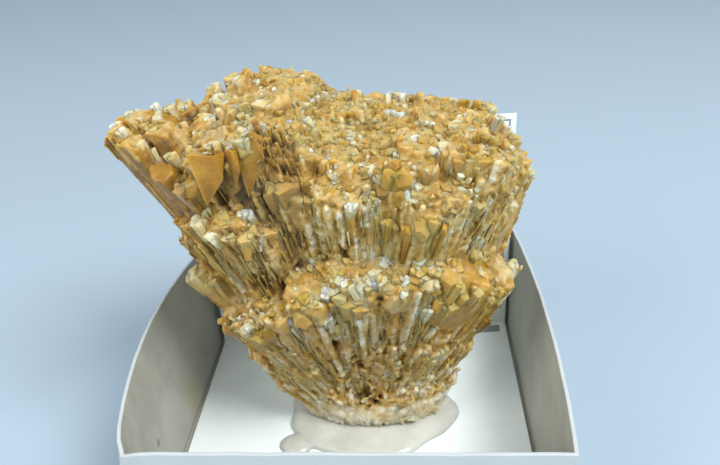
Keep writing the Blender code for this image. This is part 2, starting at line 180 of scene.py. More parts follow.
def build_tray():
    """An open box with thick, bowed and rippled walls."""
    half = TRAY_INSIDE / 2.0
    top = FLOOR + WALL_HEIGHT
    bpy.ops.mesh.primitive_cube_add(size=1.0, location=(0.0, 0.0, (top + BOARD) / 2.0),
                                    scale=(TRAY_INSIDE, TRAY_INSIDE, top - BOARD))
    tray = bpy.context.object
    tray.name = "card_tray"
    bpy.ops.object.transform_apply(location=True, rotation=True, scale=True)
    bm = bmesh.new()
    bm.from_mesh(tray.data)
    bmesh.ops.delete(bm, geom=[face for face in bm.faces if face.normal.z > 0.5], context="FACES_ONLY")
    bmesh.ops.subdivide_edges(bm, edges=bm.edges[:], cuts=23, use_grid_fill=True)
    for vert in bm.verts:
        place = vert.co.copy()
        rise = max(0.0, (place.z - FLOOR) / WALL_HEIGHT)
        along = max(0.0, 1.0 - (2.0 * place.y / TRAY_INSIDE) ** 2)
        if abs(abs(place.x) - half) < GAP and abs(place.y) < half - GAP:
            vert.co.x += (-BOW_LEFT if place.x < 0.0 else BOW_RIGHT) * along * rise
        ripple = noise.noise(place * 90.0) * 0.12 * MM * rise
        if abs(abs(place.x) - half) < GAP:
            vert.co.x += ripple if place.x > 0.0 else abs(ripple)
        if abs(place.z - top) < GAP / 2.0:
            vert.co.z -= abs(noise.noise(place * 320.0 + Vector((3.0, 0.0, 0.0)))) * 0.28 * MM
        corner = math.hypot(place.x + half, place.y + half) / CRUMPLE_REACH
        if corner < 1.0 and place.z > top - CRUMPLE_DEPTH:
            vert.co += Vector((0.45, 0.35, -0.8)) * MM * (1.0 - corner)
            vert.co.x += 0.5 * MM * noise.noise(place * 700.0) * (1.0 - corner)
    bm.to_mesh(tray.data)
    bm.free()
    thicken(tray, BOARD - 0.02 * MM, 1.0, WORN_EDGE, 50.0)
    return tray


tray = build_tray()


def add_node(tree, kind, links=(), **values):
    """A node with its settings, and its inputs linked or set from (input, source or value) pairs."""
    node = tree.nodes.new(kind)
    for key, value in values.items():
        setattr(node, key, value)
    for slot_name, source in links:
        if isinstance(source, bpy.types.NodeSocket):
            tree.links.new(source, node.inputs[slot_name])
        else:
            node.inputs[slot_name].default_value = source
    return node


def sums(tree, operation, first, second=0.5, third=0.5, clamp=False):
    """A Math node's output."""
    return add_node(tree, "ShaderNodeMath", [(0, first), (1, second), (2, third)], operation=operation,
                    use_clamp=clamp).outputs[0]


def vectors(tree, operation, *sources, output=0):
    """A Vector Math node's output."""
    node = add_node(tree, "ShaderNodeVectorMath", enumerate(sources), operation=operation)
    return node.outputs[output]


def cloudy(tree, place, scale, detail, roughness=0.5):
    """A noise texture's value at a place."""
    return add_node(tree, "ShaderNodeTexNoise", [("Vector", place), ("Scale", scale), ("Detail", detail),
                                                 ("Roughness", roughness)]).outputs["Fac"]


def scaled(tree, vector, factor):
    """A vector times a number."""
    node = add_node(tree, "ShaderNodeVectorMath", [(0, vector), ("Scale", factor)], operation="SCALE")
    return node.outputs[0]


def grain_group():
    """Paper grain: fine speckle, fibres and soft blotches from a place in millimetres."""
    group = bpy.data.node_groups.new("paper_grain", "ShaderNodeTree")
    group.interface.new_socket("Place", in_out="INPUT", socket_type="NodeSocketVector")
    for label in ("Speck", "Blotch", "Height"):
        group.interface.new_socket(label, in_out="OUTPUT", socket_type="NodeSocketFloat")
    source = group.nodes.new("NodeGroupInput").outputs["Place"]
    sink = group.nodes.new("NodeGroupOutput")
    speck = cloudy(group, source, 1.6, 4.0, 0.7)
    stretch = add_node(group, "ShaderNodeMapping", [("Vector", source), ("Scale", (1.2, 1.2, 0.22))])
    fibre = cloudy(group, stretch.outputs[0], 2.4, 3.0)
    group.links.new(speck, sink.inputs["Speck"])
    group.links.new(cloudy(group, source, 0.14, 5.0), sink.inputs["Blotch"])
    group.links.new(sums(group, "ADD", sums(group, "MULTIPLY", speck, 0.5), fibre), sink.inputs["Height"])
    return group


paper_grain = grain_group()


def place_in_mm(tree):
    """Object coordinates scaled to millimetres."""
    return scaled(tree, add_node(tree, "ShaderNodeTexCoord").outputs["Object"], 1.0 / MM)


def ramp(tree, source, stops):
    """A colour ramp with stops of (position, colour)."""
    node = add_node(tree, "ShaderNodeValToRGB", [("Fac", source)])
    elements = node.color_ramp.elements
    while len(elements) < len(stops):
        elements.new(0.5)
    for element, (position, colour) in zip(elements, stops):
        element.position = position
        element.color = (*colour[:3], 1.0)
    return node.outputs["Color"]


def mix(tree, share, first, second):
    """A colour mixed from two."""
    node = add_node(tree, "ShaderNodeMix", [(0, share), (6, first), (7, second)], data_type="RGBA")
    return node.outputs[2]


def bump(tree, shader, height, strength, distance):
    """Feed a height to a shader's normal."""
    node = add_node(tree, "ShaderNodeBump", [("Height", height), ("Strength", strength),
                                             ("Distance", distance)])
    tree.links.new(node.outputs[0], shader.inputs["Normal"])


def soft_spot(tree, middle, radius):
    """A share that falls from 1 at a place to 0 at a distance from it, both in millimetres."""
    away = vectors(tree, "DISTANCE", place_in_mm(tree), middle, output=1)
    return sums(tree, "MULTIPLY_ADD", away, -1.0 / radius, 1.0, clamp=True)


def paper_material(name, base, dark, roughness, blotch_share, spots=()):
    """Matt paper or board with specks, soft blotches and spots of other colours."""
    material, tree, shader = new_material(name)
    grain = add_node(tree, "ShaderNodeGroup", node_tree=paper_grain)
    tree.links.new(place_in_mm(tree), grain.inputs["Place"])
    specks = ramp(tree, grain.outputs["Speck"], [(0.30, (1, 1, 1)), (0.42, (0, 0, 0))])
    blotch = ramp(tree, grain.outputs["Blotch"], [(0.38, (0, 0, 0)), (0.66, (1, 1, 1))])
    tint = mix(tree, sums(tree, "MULTIPLY", blotch, blotch_share), base, dark)
    colour = mix(tree, sums(tree, "MULTIPLY", specks, 0.45), tint, dark)
    for middle, radius, share, spot_colour in spots:
        spot = sums(tree, "MULTIPLY", soft_spot(tree, middle, radius), share)
        colour = mix(tree, spot, colour, spot_colour)
    tree.links.new(colour, shader.inputs["Base Color"])
    shader.inputs["Roughness"].default_value = roughness
    bump(tree, shader, grain.outputs["Height"], 0.35, 0.0001)
    return material


liner = paper_material("tray_liner", PAPER_WHITE, PAPER_SHADE, 0.6, 0.35)
chipboard = paper_material("tray_chipboard", CHIPBOARD_GREY, CHIPBOARD_SHADE, 0.9, 0.5, WALL_SPOTS)
tray.data.materials.append(liner)
tray.data.materials.append(chipboard)
for face in tray.data.polygons:
    middle = face.center
    inwards = Vector((-middle.x, -middle.y, 0.0)).normalized()
    wall_face = abs(face.normal.z) < 0.5 and face.normal.dot(inwards) > 0.3
    bottom_face = face.normal.z > 0.5 and middle.z < FLOOR
    if wall_face or bottom_face:
        face.material_index = 1
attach(tray, "root")
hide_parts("tray")

# Card. One stiff white card lies on the tray's floor, and its rear part is folded up along a crooked
# crease to stand behind the stone. It has a thin frame line and one grey bar, and is bare otherwise.
CARD_HALF = 29.3 * MM
CARD_FRONT = -28.6 * MM
FOLD_LEFT = 21.9 * MM
FOLD_RIGHT = 28.0 * MM
LABEL_HEIGHT = 46.3 * MM
CARD_WHITE = (0.88, 0.96, 0.98, 1.0)
CARD_SHADE = (0.77, 0.83, 0.83, 1.0)
MARK_GREY = (0.16, 0.18, 0.21, 1.0)
MARK_SHARE = 0.85
# A dark grey bar on the floor part, just ahead of the crease at the right.
BAR = (0.7, 2.9, -14.0, 28.0)         # millimetres ahead of the crease, and along x
FRAME_OUTSIDE = (28.28, 5.0, 1.0)     # half width, foot and distance below the label's top, in millimetres
FRAME_INSIDE = (27.94, 5.35, 1.36)


def fold_at(x):
    """Distance of the crease behind the middle of the tray."""
    return FOLD_LEFT + (FOLD_RIGHT - FOLD_LEFT) * (x + CARD_HALF) / (2.0 * CARD_HALF)


def build_card():
    """A thin sheet with its rear part folded up along the crease."""
    bpy.ops.mesh.primitive_plane_add(size=1.0, location=(0.0, 0.0, 0.0))
    card = bpy.context.object
    card.name = "folded_card"
    bm = bmesh.new()
    bm.from_mesh(card.data)
    for vert in bm.verts:
        x = math.copysign(CARD_HALF, vert.co.x)
        vert.co = Vector((x, fold_at(x) if vert.co.y > 0.0 else CARD_FRONT, FLOOR))
    rear = [edge for edge in bm.edges if all(vert.co.y > 0.0 for vert in edge.verts)]
    grown = bmesh.ops.extrude_edge_only(bm, edges=rear)["geom"]
    for vert in grown:
        if isinstance(vert, bmesh.types.BMVert):
            vert.co.z = FLOOR + LABEL_HEIGHT
    crease = [edge for edge in bm.edges if all(abs(vert.co.z - FLOOR) < GAP and vert.co.y > 0.0
                                               for vert in edge.verts)]
    bmesh.ops.bevel(bm, geom=crease, offset=0.5 * MM, segments=3, profile=0.5, affect="EDGES")
    bmesh.ops.recalc_face_normals(bm, faces=bm.faces[:])
    if max(bm.faces, key=lambda face: face.calc_area()).normal.z < 0.0:
        bmesh.ops.reverse_faces(bm, faces=bm.faces[:])
    bm.to_mesh(card.data)
    bm.free()
    thicken(card, CARD - 0.01 * MM, -1.0, 0.06 * MM, 60.0)
    return card


card = build_card()
card_material, card_tree, card_shader = new_material("white_card")


def between(tree, source, low, high):
    """One where a value lies between two, otherwise nought."""
    above = sums(tree, "GREATER_THAN", source, low)
    below = sums(tree, "LESS_THAN", source, high)
    return sums(tree, "MULTIPLY", above, below)


def card_marks(tree):
    """The dark grey bar on the floor part just ahead of the crease, and the printed frame line on the
    upright part.
    """
    split = add_node(tree, "ShaderNodeSeparateXYZ", [(0, place_in_mm(tree))])
    x, y, z = split.outputs
    slope = (FOLD_RIGHT - FOLD_LEFT) / (2.0 * CARD_HALF)
    crease = sums(tree, "MULTIPLY_ADD", x, slope, (FOLD_LEFT + FOLD_RIGHT) / 2.0 / MM)
    ahead = sums(tree, "SUBTRACT", crease, y)
    lying = sums(tree, "LESS_THAN", z, FLOOR / MM + 0.4)
    bar = sums(tree, "MULTIPLY", between(tree, ahead, *BAR[:2]), between(tree, x, *BAR[2:]))
    bar = sums(tree, "MULTIPLY", bar, lying)
    top = (FLOOR + LABEL_HEIGHT) / MM
    reach = sums(tree, "ABSOLUTE", x)
    panels = [sums(tree, "MULTIPLY", sums(tree, "LESS_THAN", reach, half),
                   between(tree, z, foot, top - below))
              for half, foot, below in (FRAME_OUTSIDE, FRAME_INSIDE)]
    return sums(tree, "MAXIMUM", bar, sums(tree, "SUBTRACT", *panels))


card_grain = add_node(card_tree, "ShaderNodeGroup", node_tree=paper_grain)
card_tree.links.new(place_in_mm(card_tree), card_grain.inputs["Place"])
card_blotch = ramp(card_tree, card_grain.outputs["Blotch"], [(0.35, (0, 0, 0)), (0.7, (1, 1, 1))])
card_base = mix(card_tree, sums(card_tree, "MULTIPLY", card_blotch, 0.35), CARD_WHITE, CARD_SHADE)
card_dark_marks = sums(card_tree, "MULTIPLY", card_marks(card_tree), MARK_SHARE)
card_tree.links.new(mix(card_tree, card_dark_marks, card_base, MARK_GREY), card_shader.inputs["Base Color"])
card_shader.inputs["Roughness"].default_value = 0.45
bump(card_tree, card_shader, card_grain.outputs["Height"], 0.12, 0.0001)
card.data.materials.append(card_material)
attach(card, "root")
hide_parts("label_card")

# Glue. A blob of milky hot-melt glue squeezed out around the stone's foot: a low dome with a scalloped
# edge, a lip that creeps up the stone, and one drop that ran out at the front left.
GLUE_CENTRE = Vector((2.0, 0.6, 0.0)) * MM
GLUE_HALF_X = 15.0 * MM
GLUE_HALF_Y = 11.3 * MM
GLUE_HEIGHT = 1.9 * MM
DROP_CENTRE = Vector((-10.6, -7.4, 0.0)) * MM
DROP_RADIUS = 3.0 * MM
GLUE_VOXEL = 0.28 * MM
GLUE_COLOURS = [(0.3, (0.50, 0.51, 0.46)), (0.7, (0.64, 0.65, 0.60))]


def fuse(item, voxel):
    """Fuse an object's overlapping shapes into one closed skin."""
    skin = item.modifiers.new("fuse", "REMESH")
    skin.mode = "VOXEL"
    skin.voxel_size = voxel
    skin.adaptivity = 0.0
    apply_modifiers(item)


def build_glue():
    """A flattened dome with a wavy rim and one drop, fused and melted together."""
    bpy.ops.mesh.primitive_uv_sphere_add(segments=64, ring_count=32, radius=1.0)
    glue = bpy.context.object
    glue.name = "glue_blob"
    for vert in glue.data.vertices:
        angle = math.atan2(vert.co.y, vert.co.x)
        wave = 1.0 + 0.035 * math.sin(3.0 * angle + 0.6) + 0.03 * math.sin(5.0 * angle + 2.0)
        wave += 0.012 * math.sin(11.0 * angle + 1.0)
        flat = math.copysign(abs(vert.co.z) ** 0.5, vert.co.z)
        vert.co = Vector((vert.co.x * wave * GLUE_HALF_X, vert.co.y * wave * GLUE_HALF_Y,
                          flat * GLUE_HEIGHT))
        vert.co += GLUE_CENTRE
        vert.co.z = max(vert.co.z, -0.3 * MM)
    bpy.ops.mesh.primitive_uv_sphere_add(segments=32, ring_count=16, radius=1.0, location=DROP_CENTRE,
                                         scale=(DROP_RADIUS, DROP_RADIUS * 0.85, 1.2 * MM))
    drop = bpy.context.object
    bpy.ops.object.transform_apply(location=True, rotation=True, scale=True)
    glue.select_set(True)
    bpy.context.view_layer.objects.active = glue
    bpy.ops.object.join()
    glue.location.z = FLOOR
    bpy.ops.object.transform_apply(location=True, rotation=True, scale=True)
    fuse(glue, GLUE_VOXEL)
    smooth = glue.modifiers.new("melted", "SMOOTH")
    smooth.iterations = 3
    apply_modifiers(glue)
    for vert in glue.data.vertices:
        vert.co.z = max(vert.co.z, FLOOR + 0.02 * MM)
    glue.data.shade_smooth()
    return glue


glue = build_glue()
glue_material, glue_tree, glue_shader = new_material("milky_glue")
glue_cloud = cloudy(glue_tree, place_in_mm(glue_tree), 0.25, 4.0)
glue_colour = ramp(glue_tree, glue_cloud, GLUE_COLOURS)
glue_tree.links.new(glue_colour, glue_shader.inputs["Base Color"])
set_inputs(glue_shader, {"Roughness": 0.05, "IOR": 1.48, "Subsurface Weight": 0.7,
                         "Subsurface Radius": (1.0, 1.0, 0.9), "Subsurface Scale": 0.003})
bump(glue_tree, glue_shader, glue_cloud, 0.15, 0.0012)
glue.data.materials.append(glue_material)
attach(glue, "root")
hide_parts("glue")

# Stone. A fan of columns in two tiers that grew away from a point below its foot, with a wing of long
# prisms on the left. Thousands of small crystals and fibres are fused with it in zones that overlap
# inside, and sharp crystals, needles and three hanging wedges stand on it as pieces of their own.
FLOOR_MM = FLOOR / MM                                 # from here on places are in millimetres
GROWTH_POINT = Vector((2.0, 4.0, -10.0 + FLOOR_MM))
CAMERA_MM = CAMERA_PLACE / MM
STONE_DISTANCES = (80, 150)
SEED = 7
CRUST_FACING = 0.35       # how squarely a face looks away from the growth point to carry crust
FOOT_HEIGHT = 7.0         # heights above the floor card
LEDGE_HEIGHT = 29.5
SPLIT_HEIGHT = 42.0
TOP_HEIGHT = 56.0
LOOK_NAMES = ("tone", "polish", "blush", "relief")

# Looks of the crystals as (tone, polish, blush). Tone runs from dark brown at 0, which the painted shade in
# the gaps reaches, through amber and honey to white at 1, polish from sugary to glassy, and blush from
# honey to smoky pink.
LOOKS = {
    "white": (0.88, 0.50, 0.00), "cream": (0.78, 0.35, 0.03), "straw": (0.74, 0.50, 0.00),
    "yellow": (0.62, 0.75, 0.00), "honey": (0.54, 0.55, 0.05), "tan": (0.55, 0.35, 0.35),
    "amber": (0.45, 0.85, 0.00), "deep": (0.34, 0.95, 0.00), "olive": (0.30, 0.85, 0.00),
    "brown": (0.20, 0.20, 0.35), "smoky": (0.46, 0.85, 0.85),
}

# Wing and long side prisms of the solid: end x, y, z above the floor card, width, length, look
LONG_PRISMS = [
    (-32.8, -2.6, 56.6, 5.4, 40.0, "olive"), (-31.0, 1.2, 57.2, 5.4, 36.0, "olive"),
    (-29.4, -5.2, 55.8, 5.0, 31.0, "olive"), (-27.6, 2.6, 58.2, 5.8, 36.0, "olive"),
    (-25.2, -7.8, 54.4, 4.2, 27.0, "olive"), (-21.8, -9.6, 52.8, 3.8, 22.0, "deep"),
    (-24.4, -0.6, 48.0, 6.0, 30.0, "deep"), (24.6, -1.4, 43.0, 4.6, 16.0, "amber"),
    (19.2, -8.8, 34.4, 5.0, 12.0, "amber"), (24.4, -2.4, 32.2, 4.2, 14.0, "straw"),
    (-23.2, -4.2, 33.8, 4.8, 18.0, "yellow"), (-20.6, -5.0, 34.6, 3.6, 16.0, "honey"),
    (-13.4, -6.4, 36.6, 3.8, 12.0, "smoky"), (-10.4, -6.6, 37.0, 4.0, 12.0, "smoky"),
]

# Smooth wedges that hang point down below the upper crust, as pixels of the photograph: left corner,
# ridge, right corner, the swell of the right edge and the point. Then how far in front of the stone each
# of these corners stands, and how far each wedge comes forward of the lip behind it.
WEDGES = [
    ((185, 155), (213, 156), (224, 152), (223, 180), (207, 206)),
    ((225, 148), (231, 150), (238, 151), (240, 171), (235, 190)),
    ((231, 143), (251, 131), (262, 137), (264, 159), (249, 198)),
]
WEDGE_STAND = (0.2, 1.3, 0.2, 0.5, -1.0)
WEDGE_FORWARD = (3.0, 0.9, 0.0)
WEDGE_DEPTH = 3.5

# Crystals of the front as the photograph shows them: across, down (pixels of its 720 by 465 frame),
# width in millimetres, height over width, look
FRONT_CRYSTALS = [
    (113, 125, 1.5, 1.0, "white"), (120, 130, 1.6, 1.0, "white"), (131, 123, 1.9, 1.2, "yellow"),
    (128, 115, 1.5, 1.0, "white"), (137, 111, 1.5, 0.8, "white"), (156, 105, 1.5, 0.8, "white"),
    (170, 108, 2.2, 0.8, "straw"), (183, 109, 1.6, 1.0, "white"), (197, 113, 1.8, 1.4, "deep"),
    (157, 121, 1.8, 1.8, "cream"), (144, 127, 2.4, 1.2, "tan"), (177, 129, 3.2, 1.2, "honey"),
    (171, 154, 3.0, 1.4, "cream"), (181, 165, 1.8, 1.5, "yellow"), (139, 146, 2.4, 1.0, "cream"),
    (150, 152, 1.8, 1.0, "cream"), (217, 88, 2.6, 1.0, "straw"), (227, 80, 2.6, 1.0, "yellow"),
    (240, 77, 2.4, 0.9, "straw"), (258, 82, 1.5, 1.2, "white"), (267, 83, 2.4, 1.2, "olive"),
    (281, 76, 2.2, 1.0, "cream"), (288, 84, 2.4, 1.2, "honey"), (302, 84, 2.8, 1.4, "amber"),
    (231, 113, 4.2, 1.1, "tan"), (246, 103, 1.8, 0.8, "deep"), (217, 99, 2.2, 1.2, "cream"),
    (228, 94, 1.5, 1.0, "white"), (209, 119, 1.8, 1.2, "cream"), (252, 123, 2.2, 1.7, "straw"),
    (263, 106, 3.4, 1.2, "straw"), (199, 145, 3.0, 0.8, "cream"), (214, 143, 2.6, 0.9, "straw"),
    (190, 149, 2.2, 0.9, "straw"), (207, 151, 2.2, 0.7, "cream"), (229, 146, 2.2, 0.8, "cream"),
    (246, 130, 2.4, 0.8, "straw"), (259, 128, 2.2, 0.8, "cream"), (241, 139, 2.4, 0.9, "straw"),
    (181, 190, 2.4, 1.6, "smoky"), (196, 196, 2.6, 1.4, "deep"), (226, 217, 3.4, 1.1, "yellow"),
    (205, 209, 2.2, 1.0, "cream"), (197, 222, 2.4, 1.4, "cream"), (210, 233, 3.0, 0.8, "cream"),
    (244, 212, 2.4, 1.6, "white"), (236, 203, 1.9, 0.8, "cream"), (226, 236, 2.6, 0.9, "tan"),
    (245, 240, 2.6, 1.4, "yellow"), (282, 186, 5.4, 0.9, "smoky"), (278, 111, 1.9, 1.2, "brown"),
    (303, 105, 2.2, 1.0, "cream"), (313, 100, 1.9, 1.4, "white"), (309, 119, 2.6, 0.8, "straw"),
    (293, 128, 2.4, 1.2, "tan"), (324, 94, 2.4, 1.0, "cream"), (318, 137, 3.0, 1.0, "honey"),
    (338, 100, 2.4, 1.2, "honey"), (352, 108, 2.8, 1.0, "tan"), (348, 133, 3.0, 0.7, "cream"),
    (347, 159, 4.2, 1.2, "tan"), (323, 161, 2.6, 1.4, "honey"), (374, 120, 2.2, 1.1, "yellow"),
    (389, 112, 2.4, 0.9, "white"), (402, 116, 2.4, 0.8, "white"), (366, 99, 2.4, 1.2, "straw"),
    (400, 98, 2.4, 1.2, "deep"), (417, 101, 2.6, 1.2, "olive"), (397, 91, 2.4, 0.6, "cream"),
    (438, 100, 2.8, 0.7, "straw"), (467, 105, 2.0, 1.1, "amber"), (487, 105, 2.4, 1.1, "straw"),
    (502, 119, 1.8, 0.6, "cream"), (455, 127, 2.4, 1.2, "cream"), (479, 121, 3.2, 1.1, "honey"),
    (485, 136, 2.6, 0.9, "deep"), (509, 138, 3.4, 0.8, "honey"), (484, 156, 4.6, 1.1, "amber"),
    (507, 157, 2.6, 1.2, "yellow"), (507, 179, 5.6, 0.8, "amber"), (530, 172, 1.6, 2.4, "cream"),
    (415, 138, 2.0, 1.2, "white"), (432, 153, 2.0, 2.2, "white"), (445, 150, 2.4, 2.0, "straw"),
    (457, 164, 1.6, 2.2, "brown"), (396, 140, 3.2, 1.1, "honey"), (404, 176, 3.8, 1.5, "amber"),
    (418, 186, 2.2, 1.2, "cream"), (416, 199, 2.4, 1.0, "straw"), (436, 180, 3.2, 1.2, "smoky"),
    (455, 191, 3.2, 1.0, "smoky"), (467, 176, 2.2, 0.9, "cream"), (482, 203, 2.2, 1.3, "yellow"),
    (511, 203, 3.0, 0.8, "cream"), (508, 232, 3.4, 1.6, "deep"), (408, 228, 2.8, 2.6, "amber"),
    (424, 226, 3.6, 2.2, "honey"), (440, 229, 3.0, 2.5, "amber"), (392, 222, 3.0, 1.4, "honey"),
    (353, 205, 2.2, 1.1, "straw"), (455, 103, 2.2, 1.0, "straw"), (478, 103, 2.4, 1.0, "honey"),
    (496, 104, 2.2, 1.0, "straw"), (506, 115, 1.8, 0.6, "cream"), (347, 187, 2.4, 1.0, "deep"),
    (374, 170, 2.2, 1.4, "cream"), (367, 192, 1.4, 3.6, "cream"), (376, 205, 1.1, 4.5, "straw"),
    (196, 274, 3.2, 1.2, "straw"), (213, 281, 2.4, 1.4, "yellow"), (225, 327, 3.2, 1.2, "deep"),
    (309, 290, 5.6, 1.1, "amber"), (314, 309, 2.8, 1.2, "yellow"), (336, 273, 2.4, 1.0, "yellow"),
    (346, 283, 3.0, 1.4, "cream"), (334, 303, 2.2, 1.4, "tan"), (325, 320, 2.2, 1.4, "straw"),
    (339, 323, 2.4, 1.4, "yellow"), (357, 305, 3.8, 1.1, "honey"), (284, 321, 2.4, 1.0, "white"),
    (295, 326, 1.9, 1.4, "cream"), (245, 328, 2.6, 1.2, "straw"), (268, 331, 3.0, 1.5, "amber"),
    (289, 305, 3.2, 1.2, "deep"), (253, 348, 3.0, 1.2, "straw"), (267, 363, 2.4, 1.4, "straw"),
    (294, 350, 2.6, 1.2, "smoky"), (310, 369, 3.4, 0.9, "tan"), (388, 258, 3.2, 1.0, "cream"),
    (419, 258, 2.6, 0.7, "white"), (419, 271, 2.6, 1.2, "amber"), (437, 262, 1.8, 1.2, "cream"),
    (457, 266, 3.2, 0.9, "honey"), (474, 252, 3.0, 1.2, "yellow"), (404, 281, 2.0, 1.1, "white"),
    (402, 293, 2.0, 1.6, "cream"), (380, 279, 2.8, 1.1, "straw"), (480, 271, 2.6, 0.8, "straw"),
    (478, 291, 2.2, 1.9, "yellow"), (515, 266, 2.4, 1.4, "straw"), (494, 295, 2.6, 2.0, "honey"),
    (485, 317, 2.6, 1.2, "deep"), (472, 327, 2.0, 1.6, "tan"), (427, 308, 2.6, 1.4, "cream"),
    (445, 303, 3.4, 1.6, "honey"), (440, 350, 1.6, 1.8, "cream"), (412, 416, 2.2, 1.1, "cream"),
    (430, 330, 2.4, 1.8, "straw"), (462, 290, 2.8, 1.5, "honey"), (202, 270, 3.4, 1.0, "yellow"),
    (331, 290, 3.0, 1.3, "cream"), (349, 300, 3.6, 1.2, "honey"), (366, 283, 2.8, 1.1, "straw"),
    (300, 300, 3.4, 1.0, "amber"), (452, 280, 3.6, 1.3, "honey"), (430, 285, 3.0, 1.2, "straw"),
    (273, 318, 2.8, 1.0, "honey"), (255, 336, 3.2, 1.2, "amber"),
]

# The sugary patch low on the front, the fibrous recess below the upper crust and the pitted hollows of the
# front, these two darkened towards brown with painted shade, as across and down in the photograph and
# radius in millimetres
SUGARY_SPOT = (368, 367)
SUGARY_RADIUS = 5.5
RECESSES = [(270, 138, 3.0), (281, 156, 3.0), (262, 162, 2.2), (291, 170, 2.0), (266, 283, 3.4)]
HOLLOWS = [
    (242, 195, 1.4), (224, 197, 1.8), (268, 205, 1.4), (323, 248, 1.6), (304, 238, 1.3), (345, 250, 1.4),
    (380, 298, 1.0), (367, 397, 1.8), (375, 402, 1.4), (392, 348, 1.4), (296, 262, 1.2), (468, 232, 1.3),
    (400, 358, 1.3), (355, 360, 1.3), (335, 345, 1.0), (283, 290, 1.4), (186, 176, 1.6),
]
PHOTO_WIDTH = 720.0     # pixels of the photograph
PHOTO_HEIGHT = 465.0

# How far the top crust is settled onto the photograph's outline: millimetres, middle and half width along x
CRUST_SETTLE = [(1.4, 9.0, 13.0), (1.9, 0.5, 6.0), (2.6, -24.0, 4.5), (1.7, -16.0, 3.2), (-0.8, -10.0, 4.0),
                (-2.0, 22.0, 5.0)]
SHOULDER_SETTLE = 1.9
HEART_VOXEL = 1.5
RELIEF_ROUNDS = 26
RING_SETTLE = 1.6


def grown_axis(place):
    """Direction of growth at a place."""
    return (place - GROWTH_POINT).normalized()


def clamped(value):
    """A value kept between nought and one."""
    return min(1.0, max(0.0, value))


LIFT = Vector((0.0, 0.0, FLOOR_MM))
CONES = [(Vector(row[:3]) + LIFT, grown_axis(Vector(row[:3]) + LIFT), row[3] / 2.0, row[4], LOOKS[row[5]])
         for row in LONG_PRISMS]


def big_crystal_at(place):
    """The look of the long prism that a place lies in, if it lies in one. The wing's ends carry crust."""
    best = None
    for end, axis, half_width, length, look in CONES:
        offset = place - end
        depth = -offset.dot(axis)
        if (1.2 if end.z > 50.0 else -2.0) < depth < length:
            reach = (offset + axis * depth).length / half_width
            if reach < 1.35 and (best is None or reach < best[0]):
                best = (reach, look)
    return best[1] if best else None


def sight_line(across, down):
    """The direction in which the camera sees a pixel of the photograph."""
    focal = LENS / SENSOR * PHOTO_WIDTH
    return (forward + side * ((across - PHOTO_WIDTH / 2.0) / focal)
            + up * ((PHOTO_HEIGHT / 2.0 - down) / focal)).normalized()


def zone_look(place, facing):
    """Tone, polish and blush of the plain surface at a place, from where it is on the stone."""
    z = place.z - FLOOR_MM
    tone, polish, blush = 0.50, 0.35, 0.06
    if place.x < -19.0 and z > 30.0:                    # the wing's olive prisms
        tone, polish, blush = 0.33, 0.6, 0.06
    if facing > 0.45:                                   # the crust
        tone, polish, blush = 0.56, 0.25, 0.40
    elif z < 33.0:
        tone -= 0.01
    # The recess behind the wedges lies under the crust's lip: darker there as painted shade, and smoky.
    recessed = -19.5 < place.x < -6.0 and 38.0 < z < 54.0 and place.y < -2.0
    if recessed and facing < 0.6:                       # painted shade and smoky tint behind the wedges
        tone, blush = 0.30, 0.55
    low = max(0.0, (18.0 - z) / 18.0)
    if z < 6.5:                                         # the pale foot
        return 0.86, 0.3, 0.34
    return tone + 0.06 * low, polish, blush + 0.10 * low


def merged_core():
    """A merged copy of the stone's solid, in millimetres, settled onto the photograph's outline."""
    bm = bmesh.new()
    bm.from_mesh(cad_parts["aragonite"].data)
    bm.transform(Matrix.Scale(1.0 / MM, 4))
    bmesh.ops.remove_doubles(bm, verts=bm.verts[:], dist=0.002)
    for vert in bm.verts:
        crust = sum(depth * max(0.0, 1.0 - ((vert.co.x - middle) / half) ** 2)
                    for depth, middle, half in CRUST_SETTLE)
        vert.co.z -= crust * clamped((vert.co.z - 46.0) / 8.0)
        shoulder = clamped((vert.co.x - 21.0) / 5.0) * max(0.0, 1.0 - abs(vert.co.z - 48.0) / 9.0)
        vert.co.x -= SHOULDER_SETTLE * shoulder
        ring = max(0.0, 1.0 - abs(vert.co.z - 20.0) / 7.0) * clamped((4.0 - vert.co.y) / 4.0)
        vert.co.y += RING_SETTLE * ring
    return bm


def mesh_object(name, mesh):
    """An object in the scene for a mesh."""
    item = bpy.data.objects.new(name, mesh)
    bpy.context.collection.objects.link(item)
    return item


def soft_heart(core):
    """The mass between the columns: a coarse, softened and slightly swollen skin of the solid."""
    mesh = bpy.data.meshes.new("heart")
    core.to_mesh(mesh)
    heart = mesh_object("heart", mesh)
    fuse(heart, HEART_VOXEL)
    soften = heart.modifiers.new("soften", "SMOOTH")
    soften.iterations = 5
    apply_modifiers(heart)
    bm = bmesh.new()
    bm.from_mesh(heart.data)
    shifts = []
    for vert in bm.verts:
        swell = 0.55
        if vert.normal.dot(grown_axis(vert.co)) > 0.4:
            swell = 0.10
        if vert.co.x < -15.0 and vert.co.z > 28.0:
            swell = -0.8
        shifts.append(vert.normal * swell)
    for vert, shift in zip(bm.verts, shifts):
        vert.co += shift
    bmesh.ops.triangulate(bm, faces=bm.faces[:])
    bpy.data.objects.remove(heart, do_unlink=True)
    return bm


